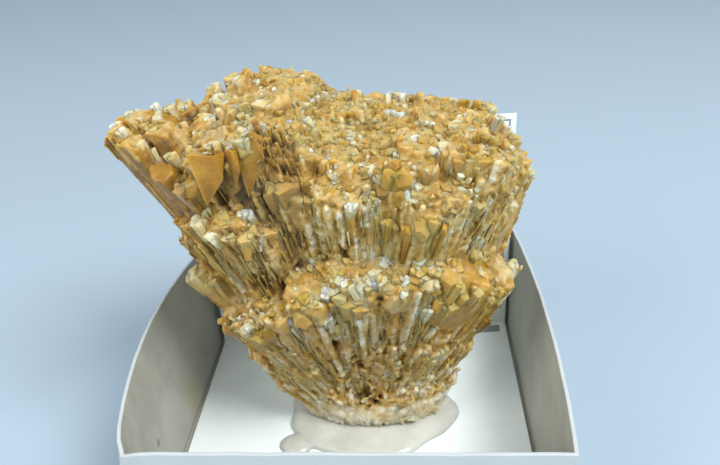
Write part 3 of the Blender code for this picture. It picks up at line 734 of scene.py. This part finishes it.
def model_crystal(sides, taper, cuts):
    """A unit crystal: a tapering prism whose end is cleaved by a few cuts."""
    bpy.ops.mesh.primitive_cone_add(vertices=sides, radius1=taper / 2.0, radius2=0.5, depth=10.0,
                                    end_fill_type="NGON", location=(0.0, 0.0, -5.0))
    pattern = bpy.context.object
    bpy.ops.object.transform_apply(location=True, rotation=True, scale=True)
    for steep, around, reach in cuts:
        side = Vector((math.cos(around), math.sin(around), 0.0))
        normal = side * math.sin(steep) + Vector((0.0, 0.0, math.cos(steep)))
        bpy.ops.object.mode_set(mode="EDIT")
        bpy.ops.mesh.select_all(action="SELECT")
        bpy.ops.mesh.bisect(plane_co=side * reach, plane_no=normal, use_fill=True, clear_outer=True)
        bpy.ops.object.mode_set(mode="OBJECT")
    places = np.array([vert.co[:] for vert in pattern.data.vertices])
    faces = [list(face.vertices) for face in pattern.data.polygons]
    bpy.data.objects.remove(pattern, do_unlink=True)
    return places, faces


dice = random.Random(SEED)
PATTERNS = []
for sides in (5, 6, 5, 7, 6, 4, 6, 5):
    cuts = [(dice.uniform(0.4, 1.1), dice.uniform(0.0, math.tau), dice.uniform(0.0, 0.25))
            for step in range(3)]
    PATTERNS.append(model_crystal(sides, dice.uniform(0.5, 0.9), cuts))


def random_lean():
    """A random vector that a crystal leans by."""
    return Vector((dice.gauss(0.0, 1.0), dice.gauss(0.0, 1.0), dice.gauss(0.0, 1.0)))


def crystal_copy(pattern, end, axis, width, length, flattest):
    """Places and faces of a copy of a modelled crystal, turned and flattened at random, with its end at a
    place."""
    flat = dice.uniform(flattest, 1.0)
    spin = dice.uniform(0.0, math.tau)
    places = pattern[0].copy()
    root = places[:, 2] < -5.0
    places[:, 2] = np.where(root, -length, np.maximum(places[:, 2], -3.0) * width)
    places[:, 0] *= width
    places[:, 1] *= width * flat
    turn = axis.to_track_quat("Z", "Y").to_matrix() @ Matrix.Rotation(spin, 3, "Z")
    return places @ np.array(turn).T + np.array(end), pattern[1]


def scatter(core, count):
    """Places spread evenly over the solid's surface, with the normals there."""
    core.faces.ensure_lookup_table()
    areas = np.cumsum([face.calc_area() for face in core.faces])
    for number in range(count):
        face = core.faces[int(np.searchsorted(areas, dice.uniform(0.0, areas[-1])))]
        a, b = dice.random(), dice.random()
        if a + b > 1.0:
            a, b = 1.0 - a, 1.0 - b
        first, second, third = [vert.co for vert in face.verts[:3]]
        yield first + (second - first) * a + (third - first) * b, face.normal.copy()


def front_crystals(surfaces):
    """Rows of (places, faces, look) for the crystals that the photograph shows, set on the stone."""
    rows = []
    for across, down, width, tall, look in FRONT_CRYSTALS:
        place, normal = first_hit(surfaces, across, down)
        extra = 0.0
        if place is None:
            seen, place, normal = nearest_stone(surfaces[0], across, down)
            extra = min(0.6, (seen - place).length)
        for number in range(3):
            lean = random_lean()
            way = (grown_axis(place) + normal * 0.15 + lean * 0.07).normalized()
            size = width * (1.0 if number == 0 else dice.uniform(0.45, 0.75))
            shift = lean.cross(way).normalized() * (0.0 if number == 0 else 0.34 * width)
            end = place + shift + way * (width * tall * dice.uniform(0.08, 0.26) + extra)
            end -= normal * max(0.0, width - 2.0) * 0.2
            tone, polish, blush = LOOKS[look]
            length = width * tall + 0.5 + extra
            rows.append((*crystal_copy(dice.choice(PATTERNS), end, way, size, length, 0.7),
                         (tone + dice.uniform(-0.05, 0.05) * number, polish, blush)))
    return rows


def nearest_stone(surface, across, down):
    """For a pixel just beside the stone: the place on the camera's line that is nearest to the stone, the
    place on the stone, and the normal there."""
    best = None
    for step in range(*STONE_DISTANCES):
        seen = CAMERA_MM + sight_line(across, down) * step
        place, normal, index, distance = surface.find_nearest(seen)
        if best is None or distance < best[0]:
            best = (distance, seen, place, normal)
    return best[1:]


def first_hit(surfaces, across, down):
    """Where the camera's line through a pixel of the photograph meets the stone, and the normal there."""
    hits = [surface.ray_cast(CAMERA_MM, sight_line(across, down)) for surface in surfaces]
    hits = [hit for hit in hits if hit[0] is not None]
    return min(hits, key=lambda hit: hit[3])[:2] if hits else (None, None)


def dents(surfaces, spots):
    """Hollows as (middle, way out, radius)."""
    found = []
    for across, down, radius in spots:
        middle, normal = first_hit(surfaces, across, down)
        found.append((middle, (normal - sight_line(across, down)).normalized(), radius))
    return found


def wedge_corners(surfaces):
    """The corners of each hanging wedge in space, and one behind them in the crust that carries it."""
    found = []
    for pixels, forward_by in zip(WEDGES, WEDGE_FORWARD):
        nearest = [min(reach for reach in (surface.ray_cast(CAMERA_MM, sight_line(*pixel))[3]
                                           for surface in surfaces) if reach) for pixel in pixels]
        lip = min(nearest) + 0.6 - forward_by
        corners = [CAMERA_MM + sight_line(*pixel) * (min(reach, lip) - stand)
                   for pixel, reach, stand in zip(pixels, nearest, WEDGE_STAND)]
        behind = CAMERA_MM + sight_line(*pixels[1]) * (lip + WEDGE_DEPTH + forward_by)
        found.append(corners + [behind])
    return found


def wedge_crystals():
    """Rows of (places, faces, look) for the hanging wedges: left, ridge, right, swell, point, behind."""
    faces = [[0, 4, 1], [1, 3, 2], [1, 4, 3], [0, 5, 4], [4, 5, 3], [3, 5, 2], [0, 1, 5], [1, 2, 5]]
    return [(np.array([corner[:] for corner in corners]), faces, LOOKS["deep"]) for corners in wedges]


def on_wedge(points):
    """Which of an array of places lie on the free part of a hanging wedge."""
    found = np.zeros(len(points), dtype=bool)
    for (left, ridge, right, swell, point, behind), forward_by in zip(wedges, WEDGE_FORWARD):
        top = np.array((left + right) / 2.0)
        run = np.array(point) - top
        along = np.clip((points - top) @ run / (run @ run), 0.0, 1.0)
        away = np.linalg.norm(points - top - along[:, None] * run, axis=1)
        reach = (right - left).length * 0.5 * (1.0 - 0.8 * along) + 0.5 + forward_by
        found |= (away < reach) & (along > 0.1)
    return found


def within(place, spots):
    """Whether a place lies in one of some hollows."""
    return any((place - middle).length < radius for middle, way, radius in spots)


def small_crystals(core, count):
    """Rows of (places, faces, look) for the small crystals that dress the solid."""
    rows = []
    for place, normal in scatter(core, count):
        z = place.z - FLOOR_MM
        axis = grown_axis(place)
        facing = normal.dot(axis)
        look = big_crystal_at(place)
        if look and look[1] > 0.6 and dice.random() < 0.95 or on_wedge(np.array([place]))[0]:
            continue
        lean = random_lean()
        tone, polish, blush = zone_look(place, facing)
        draw = dice.random()
        if z < FOOT_HEIGHT:
            if normal.z < -0.4 or draw < 0.5:
                continue
            way = (axis + normal + lean * 0.4).normalized()
            width = dice.uniform(0.6, 1.6)
            end = place + way * dice.uniform(-0.1, 0.12) * width
            length = 2.0
            tone += dice.uniform(-0.12, 0.10)
            end.z = max(end.z, FLOOR_MM + 2.0)
        elif facing > CRUST_FACING and z > LEDGE_HEIGHT and not within(place, recesses):
            way = (axis + normal * 0.25 + lean * 0.20).normalized()
            width = 0.6 + 2.2 * dice.random() ** 2.2
            end = place + way * dice.uniform(-0.6, 0.45)
            length = 2.0 + width
            if draw < 0.12 and width < 1.5:
                tone = dice.uniform(0.74, 0.92)
            elif draw < 0.42:
                tone, polish = dice.uniform(0.34, 0.50), 0.9
            elif draw > 0.965 and z < TOP_HEIGHT:
                width = dice.uniform(2.8, 4.4)
                end = place + way * dice.uniform(0.1, 0.8) - normal * 0.2
                tone, polish, blush = dice.uniform(0.44, 0.62), 0.95, dice.choice((0.0, 0.1, 0.5))
            else:
                tone += dice.uniform(-0.16, 0.10)
            polish = clamped(polish + dice.uniform(-0.2, 0.5))
        elif (place - sugary).length < SUGARY_RADIUS:
            way = (axis + normal * 0.6 + lean * 0.7).normalized()
            width = dice.uniform(0.5, 1.3)
            end = place + way * dice.uniform(0.0, 0.5)
            length = 2.0
            tone, polish, blush = dice.uniform(0.40, 0.78), 0.2, 0.5
        else:
            way = (axis + lean * 0.025).normalized()
            width = 0.35 + 0.75 * dice.random() ** 2
            end = place + normal * dice.uniform(-0.1, 0.22) + way * dice.uniform(0.0, 2.0)
            length = dice.uniform(2.5, 8.0)
            tone += dice.uniform(-0.16, 0.26) if draw < 0.8 else dice.uniform(0.20, 0.36)
            # Darker in the recesses, as painted shade.
            if within(place, recesses):
                tone, blush = dice.uniform(0.18, 0.44), 0.4
        rows.append((*crystal_copy(dice.choice(PATTERNS), end, way, width, length, 0.65),
                     (min(tone, 1.0), polish, blush)))
    return rows


def crisp_crystals(core, count):
    """Rows for the sharp small crystals that stand on the crust, and the needles that lie on its sides."""
    rows = []
    for place, normal in scatter(core, count):
        axis = grown_axis(place)
        facing = normal.dot(axis)
        z = place.z - FLOOR_MM
        bare = z < FOOT_HEIGHT or within(place, hollows) or big_crystal_at(place)
        if bare or on_wedge(np.array([place]))[0]:
            continue
        tone, polish, blush = zone_look(place, facing)
        lean = random_lean()
        pattern = dice.choice(PATTERNS)
        draw = dice.random()
        if facing > CRUST_FACING and z > LEDGE_HEIGHT and not within(place, recesses):
            way = (axis + normal * 0.3 + lean * 0.28).normalized()
            width = 0.7 + 1.7 * dice.random() ** 2.0
            end = place + way * dice.uniform(0.1, 0.75 if z < TOP_HEIGHT else 0.4)
            length = width + 1.2
            tone += dice.uniform(-0.10, 0.10)
            if draw < 0.24 and width < 1.6:
                tone, blush = dice.uniform(0.70, 0.90), 0.1
            elif draw < 0.46:
                tone, polish = dice.uniform(0.34, 0.48), 0.9
            polish = min(1.0, polish + dice.uniform(0.0, 0.5))
        elif (place - sugary).length < SUGARY_RADIUS:
            way = (axis + normal + lean).normalized()
            width = dice.uniform(0.3, 0.9)
            end = place + way * dice.uniform(0.05, 0.35)
            length = 1.5
            tone, polish, blush = dice.uniform(0.45, 0.82), 0.2, 0.5
        else:
            way = (axis + lean * 0.06).normalized()
            width = 0.22 + 0.45 * dice.random() ** 2.0
            end = place + normal * dice.uniform(0.05, 0.36)
            end += way * dice.uniform(0.0, 1.2 if z < 46.0 else 0.3)
            length = dice.uniform(1.0, 4.0)
            tone += dice.uniform(-0.14, 0.26)
            # Darker in the recesses, as painted shade.
            if within(place, recesses):
                tone, blush = dice.uniform(0.22, 0.46), 0.4
        rows.append((*crystal_copy(pattern, end, way, width, length, 0.6), (min(tone, 1.0), polish, blush)))
    return rows


def write_looks(mesh, values):
    """Write the columns of an array as the looks of a mesh's vertices."""
    for column, label in enumerate(LOOK_NAMES):
        attribute = mesh.attributes.new(label, "FLOAT", "POINT")
        attribute.data.foreach_set("value", values[:, column].astype(np.float32))


def in_metres(points):
    """Places in metres, kept inside the solid's box."""
    low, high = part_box("aragonite")
    return np.clip(points * MM, np.array(low), np.array(high))


def build_crystals(name, rows):
    """Crystals that keep their flat faces, as one piece."""
    places = []
    faces = []
    looks = []
    start = 0
    for crystal, crystal_faces, look in rows:
        # Each crystal darkens towards its root as painted contact shade, and pales towards its end.
        height = np.argsort(np.argsort(crystal @ np.array(grown_axis(Vector(crystal.mean(axis=0))))))
        relief = 0.45 * (height / (len(crystal) - 1.0) - 0.5)
        looks.append(np.column_stack([np.tile(look, (len(crystal), 1)), relief]))
        places.append(crystal)
        faces.extend([[index + start for index in face] for face in crystal_faces])
        start += len(crystal)
    mesh = bpy.data.meshes.new(name)
    mesh.from_pydata(in_metres(np.concatenate(places)).tolist(), [], faces)
    write_looks(mesh, np.concatenate(looks))
    return mesh_object(name, mesh)


def zone_source(bodies, rows, cut):
    """Vertices, faces and looks of everything in one zone of the stone."""
    places = []
    faces = []
    looks = []
    start = 0
    for body in bodies:
        part = body.copy()
        for place, normal in cut:
            everything = part.verts[:] + part.edges[:] + part.faces[:]
            bmesh.ops.bisect_plane(part, geom=everything, plane_co=place, plane_no=normal, clear_outer=True)
            edges = [edge for edge in part.edges if edge.is_boundary]
            bmesh.ops.triangle_fill(part, use_beauty=True, edges=edges)
        part.verts.index_update()
        places.append(np.array([vert.co[:] for vert in part.verts]))
        for face in part.faces:
            faces.append([vert.index + start for vert in face.verts])
            middle = face.calc_center_median()
            look = big_crystal_at(middle)
            if not look:
                tone, polish, blush = zone_look(middle, face.normal.dot(grown_axis(middle)))
                look = (tone + 0.12 * noise.noise(face.normal * 7.0), polish, blush)
            looks.append(look)
        part.free()
        start += len(places[-1])
    for crystal, crystal_faces, look in rows:
        middle = Vector(crystal.mean(axis=0))
        if all((middle - Vector(place)).dot(Vector(normal)) < 0.0 for place, normal in cut):
            places.append(crystal)
            faces.extend([[index + start for index in face] for face in crystal_faces])
            looks.extend([look] * len(crystal_faces))
            start += len(crystal)
    return np.concatenate(places), faces, np.array(looks)


def smoothed(values, firsts, seconds, weights, rounds):
    """Values of the vertices, averaged with their neighbours a number of times."""
    for step in range(rounds):
        total = np.stack([np.bincount(firsts, values[seconds, axis], len(values))
                          + np.bincount(seconds, values[firsts, axis], len(values))
                          for axis in range(values.shape[1])], axis=1)
        values = 0.5 * values + 0.5 * total / weights[:, None]
    return values


def edge_ends(mesh):
    """The first and the second vertex of every edge."""
    ends = np.empty(len(mesh.edges) * 2, dtype=int)
    mesh.edges.foreach_get("vertices", ends)
    return ends.reshape(-1, 2).T


def vertex_vectors(mesh, label):
    """An array of the places or normals of a mesh's vertices."""
    values = np.empty(len(mesh.vertices) * 3)
    mesh.vertices.foreach_get(label, values)
    return values.reshape(-1, 3)


def noises(points, scale):
    """Noise at each of an array of places."""
    return np.array([noise.noise(Vector(point) * scale) for point in points])


def keep_largest(zone):
    """Delete every loose part of an object but the largest."""
    count = len(zone.data.vertices)
    firsts, seconds = edge_ends(zone.data)
    label = np.arange(count)
    while True:
        lowest = np.minimum(label[firsts], label[seconds])
        fresh = label.copy()
        np.minimum.at(fresh, firsts, lowest)
        np.minimum.at(fresh, seconds, lowest)
        fresh = fresh[fresh]
        if (fresh == label).all():
            break
        label = fresh
    loose = np.flatnonzero(label != np.argmax(np.bincount(label, minlength=count)))
    bm = bmesh.new()
    bm.from_mesh(zone.data)
    bm.verts.ensure_lookup_table()
    bmesh.ops.delete(bm, geom=[bm.verts[index] for index in loose], context="VERTS")
    bm.to_mesh(zone.data)
    bm.free()


def ribbed(points, normals, rough):
    """Places with lumps on the rough parts and fine ribs on the columns' sides."""
    lumps = noises(points, 1.1) * 0.22 + noises(points, 2.6) * 0.12
    axes = points - np.array(GROWTH_POINT)
    axes /= np.linalg.norm(axes, axis=1)[:, None]
    sides = np.clip(1.3 - 2.0 * np.abs((normals * axes).sum(axis=1)), 0.0, 1.0)
    ribs = 0.40 * noises(axes, 28.0) + 0.28 * noises(axes, 75.0)
    return points + normals * (lumps * rough + ribs * sides * np.clip(2.2 * rough - 0.6, 0.1, 1.0))[:, None]


def hollowed(points, tones):
    """Places pushed in where the recess and the torn hollows are, and their tones darkened there as
    painted shade.
    """
    spared = on_wedge(points)
    for middle, way, radius in recesses:
        reach = np.linalg.norm(points - np.array(middle), axis=1) / radius
        dip = np.where(spared, 0.0, np.clip(1.2 - reach, 0.0, 1.0) ** 1.5)
        points = points - np.array(way) * (dip * 1.4)[:, None]
        tones = tones - 0.06 * dip
    for middle, way, radius in hollows:
        offset = points - np.array(middle)
        along = (offset * np.array(grown_axis(middle))).sum(axis=1)
        near = (np.linalg.norm(offset, axis=1) < 3.0 * radius) & ~spared
        torn = np.zeros(len(points))
        torn[near] = noises(points[near], 0.9)
        reach = np.sqrt(np.maximum(0.0, (offset ** 2).sum(axis=1) - 0.8 * along ** 2)) / radius
        reach += 0.55 * torn
        dip = np.where(near, np.clip(1.0 - reach, 0.0, 1.0) ** 0.9, 0.0)
        points = points - np.array(way) * (dip * min(radius, 2.0) * 0.8)[:, None]
        # Darker in the hollow, as painted shade.
        tones = tones - 0.22 * np.clip(1.4 * dip, 0.0, 1.0)
    return points, tones


def build_zone(name, bodies, rows, cut, voxel):
    """One zone of the stone as a fused piece, with its looks kept on its vertices."""
    places, faces, looks = zone_source(bodies, rows, cut)
    mesh = bpy.data.meshes.new(name)
    mesh.from_pydata(places.tolist(), [], faces)
    zone = mesh_object(name, mesh)
    fuse(zone, voxel)
    keep_largest(zone)
    mesh = zone.data
    tree = BVHTree.FromPolygons(places.tolist(), faces)
    kept = looks[[tree.find_nearest(vert.co)[2] for vert in mesh.vertices]]
    normals = vertex_vectors(mesh, "normal")
    firsts, seconds = edge_ends(mesh)
    count = len(mesh.vertices)
    weights = np.maximum(1, np.bincount(firsts, minlength=count) + np.bincount(seconds, minlength=count))
    points = ribbed(vertex_vectors(mesh, "co"), normals, 1.0 - 0.75 * kept[:, 1])
    points, kept[:, 0] = hollowed(points, kept[:, 0])
    # Height over the smoothed surroundings; the material darkens the recesses by it as painted shade.
    relief = ((points - smoothed(points, firsts, seconds, weights, RELIEF_ROUNDS)) * normals).sum(axis=1)
    mesh.vertices.foreach_set("co", in_metres(points).ravel())
    write_looks(mesh, smoothed(np.column_stack([kept, relief]), firsts, seconds, weights, 1))
    mesh.update()
    mesh.shade_smooth()
    return zone


STONE_COLOURS = [
    (0.00, (0.040, 0.020, 0.006)), (0.15, (0.120, 0.062, 0.012)), (0.32, (0.300, 0.160, 0.022)),
    (0.45, (0.450, 0.258, 0.040)), (0.60, (0.515, 0.350, 0.106)), (0.75, (0.565, 0.440, 0.218)),
    (0.90, (0.670, 0.595, 0.410)), (1.00, (0.820, 0.790, 0.700)),
]
SMOKY = (0.34, 0.245, 0.13, 1.0)
HALF = (0.5, 0.5, 0.5)


def stone_material():
    """Honey stone. The looks on its vertices are varied by clouds, pale veils, sugar, streaks that run
    along the growth and drawn facets, paler raised places and painted shade in the recesses, and light
    goes a little way into it."""
    material, tree, shader = new_material("honey_aragonite")
    place = place_in_mm(tree)
    looks = {label: add_node(tree, "ShaderNodeAttribute", attribute_name=label).outputs["Fac"]
             for label in LOOK_NAMES}
    rough = sums(tree, "SUBTRACT", 1.0, looks["polish"])
    from_root = vectors(tree, "SUBTRACT", place, tuple(GROWTH_POINT))
    direction = vectors(tree, "NORMALIZE", from_root)
    along = sums(tree, "MULTIPLY", vectors(tree, "LENGTH", from_root, output=1), 0.09)
    streaks = add_node(tree, "ShaderNodeTexNoise", [("Vector", direction), ("W", along), ("Scale", 85.0),
                                                    ("Detail", 4.0), ("Roughness", 0.65)],
                       noise_dimensions="4D").outputs["Fac"]
    sugar = cloudy(tree, place, 1.9, 5.0, 0.65)
    cloud = cloudy(tree, place, 0.28, 3.0)
    fan = vectors(tree, "DOT_PRODUCT", direction, place, output=1)
    squeezed = vectors(tree, "ADD", place, scaled(tree, direction, sums(tree, "MULTIPLY", fan, -0.72)))
    cells = [add_node(tree, "ShaderNodeTexVoronoi", [("Vector", squeezed), ("Scale", scale)])
             for scale in (0.75, 1.9)]
    tilts = [vectors(tree, "SUBTRACT", cell.outputs["Color"], HALF) for cell in cells]
    facet_tilt = scaled(tree, vectors(tree, "ADD", *tilts), sums(tree, "ADD", rough, 0.20))
    facet_tone = vectors(tree, "DOT_PRODUCT", facet_tilt, (0.07, 0.05, -0.03), output=1)
    tone = sums(tree, "MULTIPLY_ADD", sums(tree, "SUBTRACT", cloud, 0.5), 0.42, looks["tone"])
    tone = sums(tree, "ADD", tone, facet_tone)
    patches = cloudy(tree, place, 0.42, 4.0, 0.6)
    veil = sums(tree, "MULTIPLY", sums(tree, "MULTIPLY_ADD", patches, 5.0, -2.5, clamp=True), rough)
    tone = sums(tree, "MULTIPLY_ADD", veil, 0.26, tone)
    fine = sums(tree, "ADD", sums(tree, "SUBTRACT", sugar, 0.5), sums(tree, "SUBTRACT", streaks, 0.5))
    fine = sums(tree, "MULTIPLY", fine, sums(tree, "MULTIPLY_ADD", rough, 0.42, 0.08))
    tone = sums(tree, "ADD", tone, fine)
    # Paler on raised places, for the white crust on the rims, and darker in recesses as painted shade.
    raised = sums(tree, "MINIMUM", sums(tree, "MAXIMUM", looks["relief"], 0.0), 0.5)
    high = sums(tree, "MULTIPLY", raised, sums(tree, "MULTIPLY_ADD", rough, 0.28, 0.04))
    deep = sums(tree, "MULTIPLY", sums(tree, "MINIMUM", looks["relief"], 0.0), 0.70)
    tone = sums(tree, "ADD", tone, sums(tree, "ADD", high, deep))
    honey = ramp(tree, tone, STONE_COLOURS)
    smoky = mix(tree, sums(tree, "MULTIPLY", looks["blush"], 0.55), honey, SMOKY)
    tree.links.new(smoky, shader.inputs["Base Color"])
    gloss = sums(tree, "MULTIPLY_ADD", rough, 0.30, 0.26)
    gloss = sums(tree, "ADD", gloss, sums(tree, "MULTIPLY", sums(tree, "SUBTRACT", sugar, 0.5), 0.25))
    tree.links.new(gloss, shader.inputs["Roughness"])
    set_inputs(shader, {"IOR": 1.55, "Specular IOR Level": 0.28, "Coat Weight": 0.06,
                        "Coat Roughness": 0.12, "Subsurface Weight": 0.60,
                        "Subsurface Radius": (1.0, 0.55, 0.22), "Subsurface Scale": 0.0030})
    height = sums(tree, "ADD", sums(tree, "MULTIPLY", sugar, 0.7), streaks)
    height = sums(tree, "MULTIPLY", height, sums(tree, "MULTIPLY_ADD", rough, 0.85, 0.15))
    grainy = add_node(tree, "ShaderNodeBump", [("Height", height), ("Strength", 0.5), ("Distance", 0.0004)])
    tilted = vectors(tree, "MULTIPLY_ADD", facet_tilt, HALF, grainy.outputs[0])
    tree.links.new(vectors(tree, "NORMALIZE", tilted), shader.inputs["Normal"])
    return material


CORE_CRYSTALS = 8500      # small crystals fused with the solid and with the mass between its columns
HEART_CRYSTALS = 7000
CORE_POINTS = 5200        # sharp ones on each of them
HEART_POINTS = 5600
REAR_VOXEL = 0.40
OVERLAP = 1.0
# Zones of the stone: name, planes that cut them off as (place, way out), where the rear begins, and voxel
LEVELS = [
    ("foot", [((0, 0, 20.0), (0, 0, 1))], 2.5, 0.25),
    ("ledge", [((0, 0, 18.5), (0, 0, -1)), ((0, 0, 40.0), (0, 0, 1))], 2.5, 0.27),
    ("wing", [((0, 0, 38.5), (0, 0, -1)), ((-3.0, 0, 0), (1, 0, 0))], 9.0, 0.265),
    ("crown", [((0, 0, 38.5), (0, 0, -1)), ((-4.5, 0, 0), (-1, 0, 0))], 9.0, 0.265),
]

stone_look = stone_material()
core = merged_core()
heart = soft_heart(core)
surfaces = [BVHTree.FromBMesh(core), BVHTree.FromBMesh(heart)]
wedges = wedge_corners(surfaces)
recesses = dents(surfaces, RECESSES)
hollows = dents(surfaces, HOLLOWS)
sugary = first_hit(surfaces, *SUGARY_SPOT)[0]
named = wedge_crystals() + front_crystals(surfaces)
rows = small_crystals(core, CORE_CRYSTALS) + small_crystals(heart, HEART_CRYSTALS)
points = crisp_crystals(core, CORE_POINTS) + crisp_crystals(heart, HEART_POINTS)
high = [row for row in points if row[0][:, 2].mean() > SPLIT_HEIGHT]
low = [row for row in points if row[0][:, 2].mean() <= SPLIT_HEIGHT]
pieces = [build_crystals("aragonite_named", named),
          build_crystals("aragonite_crown_points", high),
          build_crystals("aragonite_ledge_points", low)]
for name, cut, split, voxel in LEVELS:
    front_cut = cut + [((0, split, 0), (0, 1, 0))]
    rear_cut = cut + [((0, split - OVERLAP, 0), (0, -1, 0))]
    pieces.append(build_zone("aragonite_" + name, [core, heart], rows, front_cut, voxel))
    pieces.append(build_zone("aragonite_" + name + "_rear", [core, heart], rows, rear_cut, REAR_VOXEL))
for piece in pieces:
    piece.data.materials.append(stone_look)
    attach(piece, "root")
    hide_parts("aragonite")
core.free()
heart.free()
